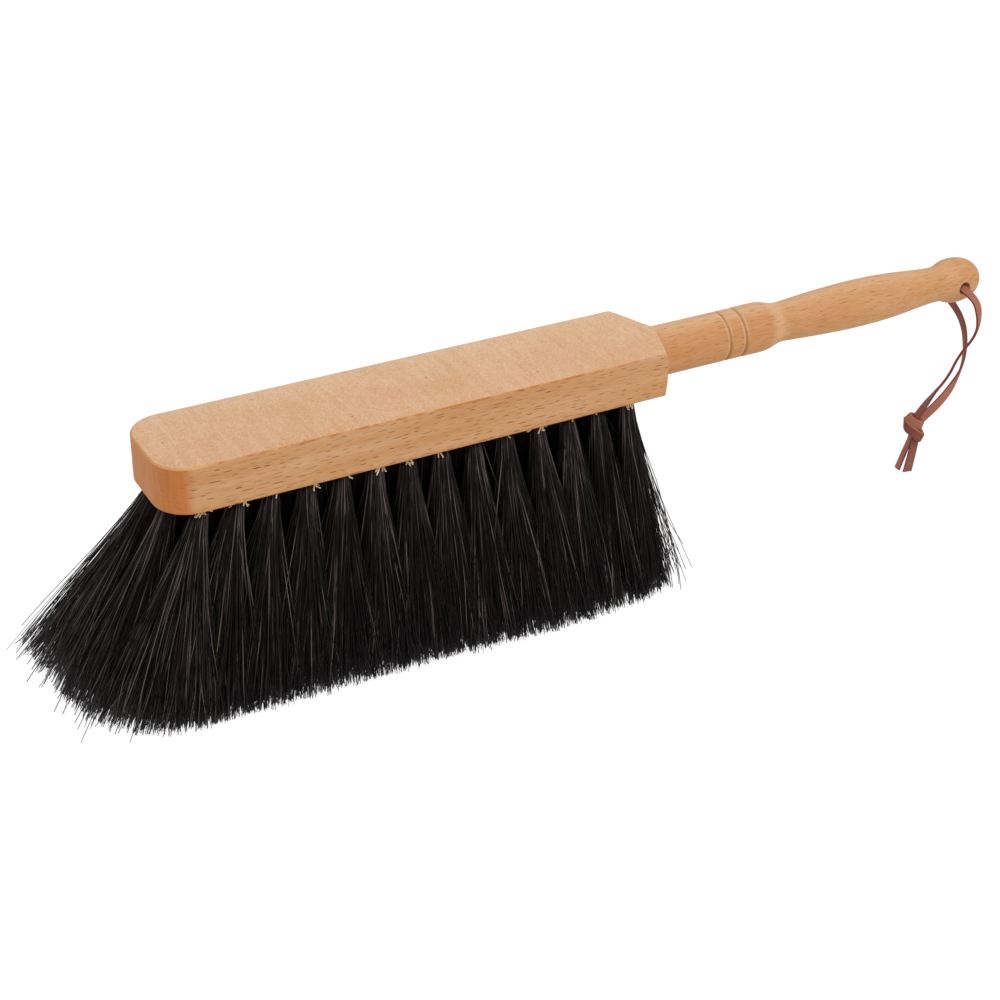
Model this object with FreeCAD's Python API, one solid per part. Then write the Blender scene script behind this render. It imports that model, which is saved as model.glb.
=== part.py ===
import FreeCAD
import Part
import math
import os

# Hand broom: a beech block and its turned handle cut from one blank, horsehair tufts stapled
# into drilled holes in the underside, and a leather lace knotted through the knob.
# Millimetres. +X runs to the handle's end, +Z is up, the hair tips lie on Z = 0 and the origin
# is under the middle of the broom.

# Beech blank
overall_length = 447.2
block_length = 244.2
block_width = 51.4
block_thickness = 22.0
plan_corner_radius = 16.0
block_edge_radius = 1.0

# Turned handle: radii, and stations measured from the shoulder or back from the handle's end
neck_radius = 12.0
crown_drop = 0.7
shoulder_angle = 64.0
shoulder_radius = 24.6
shoulder_fillet = 6.0
heel_start = 3.0
heel_inset = 0.5
arch_edge_radius = 0.8
first_groove_station = 44.5
second_groove_station = 53.5
groove_width = 2.4
groove_depth = 1.0
bead_radius = 12.1
bead_start = 56.5
bead_end = 65.5
cove_radius = 9.65
cove_station = 80.2
grip_radius = 11.75
waist_radius = 8.85
waist_setback = 28.0
knob_radius = 11.35
knob_setback = 15.0
hanging_hole_radius = 3.25
hanging_hole_setback = 15.6

# How far each curve of the handle runs level at its two ends, as a share of its own length
cove_curve = (0.46, 0.46)
grip_front_curve = (0.05, 0.44)
grip_back_curve = (0.5, 0.2)
knob_front_curve = (0.5, 0.5)
knob_end_curve = (0.75, 0.45)

# Tufts and the staples that hold them
hair_length = 91.2
outer_tuft_pitch = 16.0
inner_tuft_pitch = 16.9
outer_row_start = 18.0
inner_row_start = 10.0
last_tuft_margin = 12.5
outer_row_inset = 6.7
tip_row_pitch = 23.0
free_end_lean = 40.0
handle_end_lean = 5.0
tip_gap = 0.6
tip_corner_radius = 6.0
tuft_radius = 3.5
tuft_clearance = 0.15
root_depth = 14.0
mouth_collar = 3.0
fold_thickness = 2.5
staple_wire = 1.0
staple_width = 5.2
staple_bite = 4.0
staple_clearance = 0.05

# Leather lace: strip section, knot and tails
lace_width = 4.4
lace_thickness = 2.2
knot_radius = 6.3
knot_waist_radius = 5.0
knot_end_radius = 3.8
knot_tilt = 24.0

# The lace's route from the hanging hole's centre: up the near leg, through the hole and down
# the far leg, each end inside the knot
lace_route = [
    (-18.6, -11.5, -71.5),
    (-12.2, -12.2, -59.5),
    (-5.8, -15.3, -47.5),
    (-1.2, -18.8, -34.5),
    (2.4, -21.6, -22.0),
    (2.2, -22.2, -10.5),
    (-0.6, -19.2, -0.6),
    (0.0, 0.0, 0.5),
    (0.8, 19.4, -0.6),
    (7.6, 20.6, -9.6),
    (15.2, 17.6, -20.5),
    (20.4, 11.0, -31.5),
    (20.2, 3.0, -42.5),
    (14.8, -3.4, -53.0),
    (5.0, -7.2, -61.0),
    (-5.4, -7.8, -66.6),
    (-13.8, -6.8, -72.0),
]
knot_top = (-15.6, -9.2, -68.8)
knot_bottom = (-21.6, -10.2, -84.0)
tail_ends = ((-27.0, -10.2, -99.3), (-22.8, -16.0, -99.3))

# Directions the strip's broad side faces where the near leg and each tail begin
near_leg_face = (0.2, -1.0, 0.0)
tail_faces = ((1.0, 0.2, 0.0), (0.35, -1.0, 0.0))

# Share of a run taken by each bend of the lace, and of the knot's length by the tails' roots
bend_share = 0.45
tail_root_share = 0.1

# Two edges this close lie on the same plane
same_plane = 0.01

# Derived places
vector = FreeCAD.Vector
along_x = vector(1, 0, 0)
along_y = vector(0, 1, 0)
underside_z = hair_length
top_z = underside_z + block_thickness
axis_z = top_z - neck_radius - crown_drop
hole_radius = tuft_radius + tuft_clearance
outer_row_y = block_width / 2 - outer_row_inset
inner_row_y = outer_row_y / 3
outer_tip_y = tip_row_pitch * 3 / 2
inner_tip_y = tip_row_pitch / 2

# Row name: mouth line, first mouth from the free end, pitch of the mouths, and tip line
rows = {
    "near_outer": (-outer_row_y, outer_row_start, outer_tuft_pitch, -outer_tip_y),
    "near_inner": (-inner_row_y, inner_row_start, inner_tuft_pitch, -inner_tip_y),
    "far_inner": (inner_row_y, inner_row_start, inner_tuft_pitch, inner_tip_y),
    "far_outer": (outer_row_y, outer_row_start, outer_tuft_pitch, outer_tip_y),
}


def row_mouths(row):
    # Evenly drilled holes, as many as the block has room for.
    first_x, pitch = rows[row][1:3]
    count = int((block_length - last_tuft_margin - first_x) / pitch) + 1
    return [first_x + number * pitch for number in range(count)]


first_mouth = min(outer_row_start, inner_row_start)
last_mouth = max(row_mouths(row)[-1] for row in rows)


def lean(mouth_x):
    # The fan opens towards both ends of the block and grows with the cube of the distance.
    share = (mouth_x - first_mouth) / (last_mouth - first_mouth)
    return handle_end_lean * share ** 3 - free_end_lean * (1 - share) ** 3


def tip_cells(row):
    # Limits of each tuft's tips along a row, halfway between neighbours.
    centres = [mouth_x + lean(mouth_x) for mouth_x in row_mouths(row)]
    limits = [(left + right) / 2 for left, right in zip(centres, centres[1:])]
    first_limit = 2 * centres[0] - limits[0]
    last_limit = 2 * centres[-1] - limits[-1]
    return [first_limit] + limits + [last_limit]


tip_reach = min(tip_cells(row)[0] for row in rows) + tip_gap / 2
free_end_x = -(overall_length + tip_reach) / 2
shoulder_x = free_end_x + block_length
handle_end_x = free_end_x + overall_length
lace_centre = vector(handle_end_x - hanging_hole_setback, 0, axis_z)

# The turned end: where its cone would meet the neck, and where the fillet between them ends
cone_angle = math.radians(shoulder_angle)
cone_foot_x = shoulder_x + (shoulder_radius - neck_radius) / math.tan(cone_angle)
fillet_tangent = shoulder_fillet * math.tan(cone_angle / 2)
neck_start_x = cone_foot_x + fillet_tangent


def on_axis(x, radius):
    return vector(x, 0, axis_z + radius)


def line(start, end):
    return Part.LineSegment(start, end).toShape()


def swell(start, end, curve):
    # A profile curve that leaves and arrives level, for the given shares of its length.
    run = along_x * (end.x - start.x)
    return bezier([start, start + run * curve[0], end - run * curve[1], end])


def bezier(poles):
    curve = Part.BezierCurve()
    curve.setPoles(poles)
    return curve.toShape()


def shoulder_edges():
    # The block's end is turned to a cone that runs into the neck through a fillet.
    reach = block_width
    blank_start = on_axis(free_end_x - reach, reach)
    cone_start = on_axis(shoulder_x - (reach - shoulder_radius) / math.tan(cone_angle), reach)
    cone_end = on_axis(cone_foot_x - fillet_tangent * math.cos(cone_angle),
                       neck_radius + fillet_tangent * math.sin(cone_angle))
    neck_start = on_axis(neck_start_x, neck_radius)
    centre = neck_start + vector(0, 0, shoulder_fillet)
    middle = centre - vector(math.sin(cone_angle / 2), 0, math.cos(cone_angle / 2)) * shoulder_fillet
    return [
        line(on_axis(blank_start.x, 0), blank_start),
        line(blank_start, cone_start),
        line(cone_start, cone_end),
        Part.Arc(cone_end, middle, neck_start).toShape(),
    ]


def neck_edges():
    # A straight neck with two turned grooves, ending in a slightly fuller bead.
    edges = []
    place = on_axis(neck_start_x, neck_radius)
    for station in (first_groove_station, second_groove_station):
        left = on_axis(shoulder_x + station - groove_width / 2, neck_radius)
        floor = on_axis(shoulder_x + station, neck_radius - groove_depth)
        right = on_axis(shoulder_x + station + groove_width / 2, neck_radius)
        edges += [line(place, left), line(left, floor), line(floor, right)]
        place = right
    bead_left = on_axis(shoulder_x + bead_start, bead_radius)
    bead_right = on_axis(shoulder_x + bead_end, bead_radius)
    return edges + [line(place, bead_left), line(bead_left, bead_right)]


def grip_edges():
    # Cove, grip, waist and knob, each joined to the next by one smooth curve.
    bead = on_axis(shoulder_x + bead_end, bead_radius)
    cove = on_axis(shoulder_x + cove_station, cove_radius)
    waist = on_axis(handle_end_x - waist_setback, waist_radius)
    grip = on_axis((cove.x + waist.x) / 2, grip_radius)
    knob = on_axis(handle_end_x - knob_setback, knob_radius)
    end = on_axis(handle_end_x, 0)
    level = along_x * knob_setback * knob_end_curve[0]
    upright = vector(0, 0, knob_radius * knob_end_curve[1])
    return [
        swell(bead, cove, cove_curve),
        swell(cove, grip, grip_front_curve),
        swell(grip, waist, grip_back_curve),
        swell(waist, knob, knob_front_curve),
        bezier([knob, knob + level, end + upright, end]),
    ]


def turned_blank():
    edges = shoulder_edges() + neck_edges() + grip_edges()
    edges.append(line(on_axis(handle_end_x, 0), edges[0].Vertexes[0].Point))
    face = Part.Face(Part.Wire(edges))
    return face.revolve(on_axis(0, 0), along_x, 360)


def block_prism():
    # The block's plan with its two rounded corners, long enough to reach into the neck.
    half = block_width / 2
    right = neck_start_x + neck_radius
    corner = plan_corner_radius
    bow = corner * (1 - math.sqrt(0.5))
    x = free_end_x
    z = underside_z
    edges = [
        line(vector(right, -half, z), vector(x + corner, -half, z)),
        Part.Arc(vector(x + corner, -half, z), vector(x + bow, bow - half, z),
                 vector(x, corner - half, z)).toShape(),
        line(vector(x, corner - half, z), vector(x, half - corner, z)),
        Part.Arc(vector(x, half - corner, z), vector(x + bow, half - bow, z),
                 vector(x + corner, half, z)).toShape(),
        line(vector(x + corner, half, z), vector(right, half, z)),
        line(vector(right, half, z), vector(right, -half, z)),
    ]
    prism = Part.Face(Part.Wire(edges)).extrude(vector(0, 0, block_thickness))
    rims = [edge for edge in prism.Edges if is_rim(edge, right)]
    return prism.makeFillet(block_edge_radius, rims)


def is_rim(edge, right):
    # Top and bottom edges of the prism, but not those at its handle end.
    level = edge.BoundBox.ZLength < same_plane
    at_end = edge.BoundBox.XMin > right - same_plane
    return level and not at_end


def handle_zone():
    # Room for the whole round of the handle: past the shoulder at the sides and on top, and
    # below the underside from a slanted heel onwards.
    wide = block_width
    start = shoulder_x + heel_start
    end = handle_end_x + wide
    past_fillet = neck_start_x + neck_radius / 2
    inside = underside_z + heel_inset
    outline = [
        (start, inside),
        (start + wide, inside - wide),
        (end, inside - wide),
        (end, top_z + wide),
        (past_fillet, top_z + wide),
        (past_fillet, inside),
        (start, inside),
    ]
    wire = Part.makePolygon([vector(x, -wide, z) for x, z in outline])
    return Part.Face(wire).extrude(along_y * 2 * wide)


def is_arch(edge):
    # The edge where the turned end meets the block's top face.
    box = edge.BoundBox
    on_top = abs(box.ZMin - top_z) < same_plane and abs(box.ZMax - top_z) < same_plane
    return on_top and box.XMin > shoulder_x - shoulder_fillet


def hanging_hole():
    start = lace_centre - along_y * block_width
    return Part.makeCylinder(hanging_hole_radius, 2 * block_width, start, along_y)


class TuftSeat:
    # One tuft's place: its mouth in the underside, its patch of tips and its leaning axis.
    def __init__(self, row, number):
        mouth_y = rows[row][0]
        tip_y = rows[row][3]
        mouth_x = row_mouths(row)[number]
        limits = tip_cells(row)[number:number + 2]
        tip_x = sum(limits) / 2
        self.tip = vector(free_end_x + tip_x, tip_y, 0)
        self.mouth = vector(free_end_x + mouth_x, mouth_y, underside_z)
        self.half_x = (limits[1] - limits[0] - tip_gap) / 2
        self.half_y = (tip_row_pitch - tip_gap) / 2
        self.up = (self.mouth - self.tip).normalize()
        self.side = along_y.cross(self.up).normalize()
        self.across = self.up.cross(self.side)

    def point(self, height, along, sideways):
        # A point given from the mouth: up the axis, along the row and across it.
        return self.mouth + self.up * height + self.side * along + self.across * sideways


def round_section(seat, height, radius):
    # A circle square to the tuft's axis, as eight arcs that match the tip section's edges.
    def on_circle(turn):
        return seat.point(height, radius * math.cos(turn), radius * math.sin(turn))

    half_arc = math.pi / 8
    edges = []
    for step in range(8):
        middle = 2 * step * half_arc
        arc = Part.Arc(on_circle(middle - half_arc), on_circle(middle), on_circle(middle + half_arc))
        edges.append(arc.toShape())
    return Part.Wire(edges)


def tip_section(seat):
    # The trimmed tips: a level rectangle with rounded corners.
    x, y, radius = seat.half_x, seat.half_y, tip_corner_radius
    bow = radius * (1 - math.sqrt(0.5))
    edges = []
    for turn in range(4):
        angle = math.radians(90 * turn)
        half, side = (x, y) if turn % 2 == 0 else (y, x)
        outward = vector(math.cos(angle), math.sin(angle), 0)
        onward = vector(-math.sin(angle), math.cos(angle), 0)
        corners = [
            (half, radius - side),
            (half, side - radius),
            (half - bow, side - bow),
            (half - radius, side),
        ]
        places = [seat.tip + outward * u + onward * v for u, v in corners]
        edges.append(line(places[0], places[1]))
        edges.append(Part.Arc(places[1], places[2], places[3]).toShape())
    return Part.Wire(edges)


def staple_shape(seat, slack):
    # A square wire bent to a U: its crown lies in the fold and its legs point into the wood.
    half = staple_width / 2
    inner = half - staple_wire
    crown = root_depth - fold_thickness
    low = crown - staple_wire - slack
    high = root_depth + staple_bite + slack
    outline = [
        (low, -half - slack), (low, half + slack), (high, half + slack), (high, inner - slack),
        (crown + slack, inner - slack), (crown + slack, slack - inner), (high, slack - inner),
        (high, -half - slack), (low, -half - slack),
    ]
    depth = staple_wire / 2 + slack
    wire = Part.makePolygon([seat.point(height, along, -depth) for height, along in outline])
    return Part.Face(wire).extrude(seat.across * 2 * depth)


def tuft_shape(seat):
    sections = [
        round_section(seat, root_depth, tuft_radius),
        round_section(seat, -mouth_collar, tuft_radius),
        tip_section(seat),
    ]
    return Part.makeLoft(sections, True, True).cut(staple_shape(seat, staple_clearance))


def tuft_hole(seat):
    # A blind hole along the tuft's axis, started well below the underside.
    depth = root_depth + tuft_clearance
    start = seat.point(-hole_radius, 0, 0)
    return Part.makeCylinder(hole_radius, depth + hole_radius, start, seat.up)


def beech_body(seats):
    body = turned_blank().common(block_prism().fuse(handle_zone())).Solids[0]
    body = body.makeFillet(arch_edge_radius, [edge for edge in body.Edges if is_arch(edge)])
    cuts = [hanging_hole()]
    for seat in seats:
        cuts.append(tuft_hole(seat).fuse(staple_shape(seat, staple_clearance)))
    return body.cut(cuts)


def lace_path(points):
    # Straight runs joined by tangent arcs, each as large as its two runs allow.
    edges = []
    radii = []
    place = points[0]
    for before, corner, after in zip(points, points[1:], points[2:]):
        arriving = (corner - before).normalize()
        leaving = (after - corner).normalize()
        half_turn = arriving.getAngle(leaving) / 2
        shorter = min((corner - before).Length, (after - corner).Length)
        reach = bend_share * shorter
        radius = reach / math.tan(half_turn)
        inward = (leaving - arriving).normalize()
        middle = corner + inward * radius * (1 / math.cos(half_turn) - 1)
        start = corner - arriving * reach
        end = corner + leaving * reach
        edges += [line(place, start), Part.Arc(start, middle, end).toShape()]
        radii.append(radius)
        place = end
    edges.append(line(place, points[-1]))
    return Part.Wire(edges), radii


def strip_section(place, direction, face_normal):
    # The lace's flat section, square to its direction, broad side towards face_normal.
    across = direction.cross(face_normal).normalize()
    normal = across.cross(direction).normalize()
    half_width = across * (lace_width / 2)
    half_thickness = normal * (lace_thickness / 2)
    corners = [
        place + half_width + half_thickness,
        place - half_width + half_thickness,
        place - half_width - half_thickness,
        place + half_width - half_thickness,
    ]
    return Part.makePolygon(corners + corners[:1])


def lace_loop():
    points = [lace_centre + vector(*offset) for offset in lace_route]
    path, radii = lace_path(points)
    direction = (points[1] - points[0]).normalize()
    section = strip_section(points[0], direction, vector(*near_leg_face))
    strip = path.makePipeShell([section], True, False)
    print("lace radii", [round(radius, 1) for radius in radii])
    print("lace length", round(path.Length, 1))
    print("lace volume over section times length",
          round(strip.Volume / (path.Length * lace_width * lace_thickness), 4))
    return strip


def knot_body():
    # Two fat wraps side by side, set at a slant across the lace.
    top = lace_centre + vector(*knot_top)
    bottom = lace_centre + vector(*knot_bottom)
    length = (bottom - top).Length
    wrap = length / 2
    profile = [
        line(vector(0, 0, 0), vector(knot_end_radius, 0, 0)),
        Part.Arc(vector(knot_end_radius, 0, 0), vector(knot_radius, 0, wrap / 2),
                 vector(knot_waist_radius, 0, wrap)).toShape(),
        Part.Arc(vector(knot_waist_radius, 0, wrap), vector(knot_radius, 0, (wrap + length) / 2),
                 vector(knot_end_radius, 0, length)).toShape(),
        line(vector(knot_end_radius, 0, length), vector(0, 0, length)),
        line(vector(0, 0, length), vector(0, 0, 0)),
    ]
    wraps = Part.Face(Part.Wire(profile)).revolve(vector(0, 0, 0), vector(0, 0, 1), 360)
    slant = FreeCAD.Rotation(vector(0, 0, 1), bottom - top)
    lean_over = FreeCAD.Rotation(along_y, knot_tilt)
    turn = lean_over.multiply(slant)
    middle = (top + bottom) * 0.5
    wraps.Placement = FreeCAD.Placement(middle - turn.multVec(vector(0, 0, wrap)), turn)
    return wraps


def lace_tail(end, face):
    top = lace_centre + vector(*knot_top)
    bottom = lace_centre + vector(*knot_bottom)
    start = bottom + (top - bottom) * tail_root_share
    run = lace_centre + vector(*end) - start
    section = strip_section(start, vector(run).normalize(), vector(*face))
    return Part.Face(section).extrude(run)


def lace_knot():
    tails = [lace_tail(end, face) for end, face in zip(tail_ends, tail_faces)]
    return knot_body().fuse(tails).removeSplitter()


def main():
    os.makedirs("parts", exist_ok=True)
    seats = {}
    for row in rows:
        for number in range(len(row_mouths(row))):
            seats["tuft_%s_%02d" % (row, number + 1)] = TuftSeat(row, number)
    nodes = {name: tuft_shape(seat) for name, seat in seats.items()}
    nodes["beech_body"] = beech_body(seats.values())
    nodes["staples"] = Part.makeCompound([staple_shape(seat, 0) for seat in seats.values()])
    nodes["lace_loop"] = lace_loop()
    nodes["lace_knot"] = lace_knot()
    for name, shape in nodes.items():
        shape.exportStep("parts/%s.step" % name)


main()
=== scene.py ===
import math

import bpy
import numpy as np
from mathutils import Matrix, Vector


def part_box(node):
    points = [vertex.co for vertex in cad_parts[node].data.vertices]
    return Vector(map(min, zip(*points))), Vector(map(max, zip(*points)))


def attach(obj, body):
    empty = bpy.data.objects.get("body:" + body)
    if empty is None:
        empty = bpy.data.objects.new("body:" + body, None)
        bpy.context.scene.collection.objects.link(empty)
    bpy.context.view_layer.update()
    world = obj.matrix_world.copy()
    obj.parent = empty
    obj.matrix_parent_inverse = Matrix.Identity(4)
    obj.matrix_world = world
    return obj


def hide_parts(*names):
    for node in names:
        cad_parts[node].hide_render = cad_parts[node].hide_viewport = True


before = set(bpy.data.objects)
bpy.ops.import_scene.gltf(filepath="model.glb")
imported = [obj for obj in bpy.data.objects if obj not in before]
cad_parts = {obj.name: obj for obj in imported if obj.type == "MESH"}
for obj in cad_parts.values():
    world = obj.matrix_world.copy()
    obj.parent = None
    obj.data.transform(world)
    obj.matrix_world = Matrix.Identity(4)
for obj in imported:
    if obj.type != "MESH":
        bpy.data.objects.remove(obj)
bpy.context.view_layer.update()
mm = 0.001
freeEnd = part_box("beech_body")[0].x      # the block's free end
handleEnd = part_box("beech_body")[1].x    # the knob's end
print("frame loaded:", len(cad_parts), "nodes")


def deselectAll():
    bpy.ops.object.select_all(action="DESELECT")


def linear(hexColour):
    # sRGB hex to the linear colour that a shader takes
    channels = [int(hexColour[i:i + 2], 16) / 255 for i in (1, 3, 5)]
    return [c / 12.92 if c <= 0.04045 else ((c + 0.055) / 1.055) ** 2.4 for c in channels] + [1]


def addNode(tree, kind, links=(), out=0, stops=(), **settings):
    # a node with its settings and colour stops, its inputs set or linked, by name or in order
    node = tree.nodes.new("ShaderNode" + kind)
    for name, value in settings.items():
        setattr(node, name, value)
    for socket, value in links.items() if isinstance(links, dict) else enumerate(links):
        if isinstance(value, bpy.types.NodeSocket):
            tree.links.new(value, node.inputs[socket])
        else:
            node.inputs[socket].default_value = value
    for number, (place, colour) in enumerate(stops):
        elements = node.color_ramp.elements
        element = elements[number] if number < len(elements) else elements.new(place)
        element.position = place
        element.color = linear(colour)
    return node if out is None else node.outputs[out]


def addMaterial(name):
    material = bpy.data.materials.new(name)
    material.use_nodes = True
    material.node_tree.nodes.clear()
    return material, material.node_tree


# Camera, at the photograph's angle
view = {
    "target": (freeEnd + 171.06 * mm, 0, 41.49 * mm),
    "distance": 915.14 * mm,
    "azimuth": -29.53,
    "elevation": 31.0,
    "roll": 1.24,
    "lens": 70.41,
}


def viewAxes():
    # the camera's right, up and backward directions
    azimuth, elevation, roll = (math.radians(view[k]) for k in ("azimuth", "elevation", "roll"))
    level = math.cos(elevation)
    back = Vector((math.sin(azimuth) * level, -math.cos(azimuth) * level, math.sin(elevation)))
    right = Vector((math.cos(azimuth), math.sin(azimuth), 0))
    up = back.cross(right)
    return right * math.cos(roll) + up * math.sin(roll), up * math.cos(roll) - right * math.sin(roll), back


viewRight, viewUp, viewBack = viewAxes()
viewer = Vector(view["target"]) + viewBack * view["distance"]


def addCamera():
    bpy.ops.object.camera_add(location=viewer)
    camera = bpy.context.object
    camera.rotation_euler = Matrix((viewRight, viewUp, viewBack)).transposed().to_euler()
    camera.data.lens = view["lens"]
    camera.data.sensor_width = 36
    bpy.context.scene.camera = camera


addCamera()
print("camera set")


# Beech, planed and sanded, oiled thin: pale felted top, warmer sides with short brown ray flecks,
# and round ends that drank more oil
beech = {
    "topTones": ("#D6A677", "#DAAB82", "#DEB08D"),
    "sideTones": ("#CB905B", "#D09A67", "#D7A578"),
    "toneStops": (0.3, 0.5, 0.7),
    "farTop": "#E4C2A0",
    # the handle's tones: painted shade on its near side, painted bounce light on its lower faces, painted
    # highlights where it is pale
    "handle": "#C28148",
    "neckLow": "#DE9A58",
    "handleLow": "#E0A76E",
    "pale": "#E6BE95",
    "corner": "#CE7C3C",
    "end": "#D58A4E",
    "rim": "#BD7432",
    "endRim": "#DDA76C",
    "foot": "#CB8540",
    "fleck": "#84400F",
    "speck": "#55361F",
    "fineDark": "#BF8654",
    "fineLight": "#EDD0AF",
    # painted shade in the handle's turned grooves
    "groove": "#A5652F",
    "grooveLip": "#E6C19A",
    # soft patterns: size in millimetres along X, Y and Z, and detail
    "patterns": {
        "topPatch": ((55, 24, 55), 4),
        "sideBand": ((90, 9, 6.5), 3),
        "fibre": ((9, 0.5, 0.5), 2),
        "felt": ((0.6, 1.6, 0.6), 1),
        "ripple": ((2.6, 15, 2.6), 1),
        "endLine": ((1.3, 1.3, 14), 2),
        "rimRun": ((6, 40, 40), 2),
    },
    "drift": 45,                # the grain drifts to the side this slowly, and this far
    "driftReach": 4,
    "rippleShare": 0.3,         # of the top's fine pattern, the rest is felt
    # ray flecks in millimetres: spacing along and across, half the length and half the width
    "fleckSpacing": (7.0, 1.75),
    "fleckLength": (1.2727, 3.7333),
    "fleckWidth": (0.16923, 0.275),
    "fleckDarkness": (0.4, 1.0),
    "speckSpacing": 42,
    "speckRadius": (0.24, 0.56),
    "speckDarkness": 0.8,
    "handleAxis": 100.5,
    "handleRadius": 12,
    # masks: what each reads, from where to where it changes, and its strength at both
    "masks": {
        "facesUp": ("faceZ", 0.9, 0.98, 0, 1),
        "topHeight": ("height", 112.6, 112.9, 0, 1),
        "onBlock": ("fromEnd", 243, 244, 1, 0),
        "onHandle": ("fromEnd", 243, 244, 0, 1),
        "offTop": ("onTop", 0, 1, 1, 0),
        "farEdge": ("aside", -8, 26, 0, 0.55),
        # painted shade on the handle's near side, less below and on top, more towards the block
        "warmBelow": ("faceZ", -0.5, 0.3, 0, 0.55),
        "warmAbove": ("faceZ", 0.75, 0.97, 1, 0.1),
        "warmAlong": ("fromEnd", 300, 370, 1.15, 0.65),
        "lowAlong": ("fromEnd", 300, 370, 0, 1),
        # painted light on the handle: where it faces down, towards the block, up and away from the viewer
        "facesDown": ("faceZ", 0.2, -0.4, 0, 0.5),
        "facesBlock": ("faceX", -0.05, -0.3, 0, 0.75),
        "notBelow": ("faceZ", -0.1, 0.4, 0, 1),
        "crown": ("faceZ", 0.9, 1, 0, 0.4),
        "facesFar": ("faceY", 0.1, 0.6, 0, 0.4),
        "beforeKnob": ("fromEnd", 402, 420, 1, 0.3),
        "atFoot": ("height", 91.5, 94.4, 0.6, 0),
        "fibres": ("fibre", 0, 1, 0.3, 0.7),
        "dark": ("fine", 0.28, 0.5, 0.45, 0),
        "light": ("fine", 0.5, 0.72, 0, 0.45),
        "onFlank": ("sideways", 0.3, 0.8, 0, 1),
        "offKnobEnd": ("faceX", 0.3, 0.75, 0.62, 0),
        "inFleck": ("fleckReach", 0.65, 1.1, 1, 0),
        "faintFleck": ("fleckReach", 0.65, 1.1, 0.28, 0),
        # the round end and the block's top rim
        "atEnd": ("fromEnd", 19, 20, 1, 0),
        "pastEnd": ("fromEnd", 19, 20, 0, 1),
        "atCorner": ("endways", 0.14, 0.42, 0, 0.92),
        "endMiddle": ("endways", 0.8, 1, 0, 1),
        "endLines": ("endLine", 0.3, 0.7, 0.92, 1.08),
        "rimBelow": ("faceZ", 0.1, 0.35, 0, 1),
        "rimAbove": ("faceZ", 0.85, 0.98, 1, 0),
        "rimAlong": ("fromEnd", 230, 236, 1, 0),
        "rimRuns": ("rimRun", 0.38, 0.62, 0.15, 1),
        "endRimShare": ("fromEnd", 19, 20, 0.7, 0),
        "roughness": ("fine", 0, 1, 0.68, 0.54),
    },
    # rings round the handle: place from the free end, from where to where the edge fades, and strength
    "cove": (318, 1.5, 6, 0.42),
    "rings": (
        ("grooveLip", 287.1, 0.35, 0.65, 0.3),
        ("groove", 288.6, 0.49, 0.91, 0.45),
        ("grooveLip", 296.1, 0.35, 0.65, 0.3),
        ("groove", 297.6, 0.49, 0.91, 0.45),
    ),
}


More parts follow.
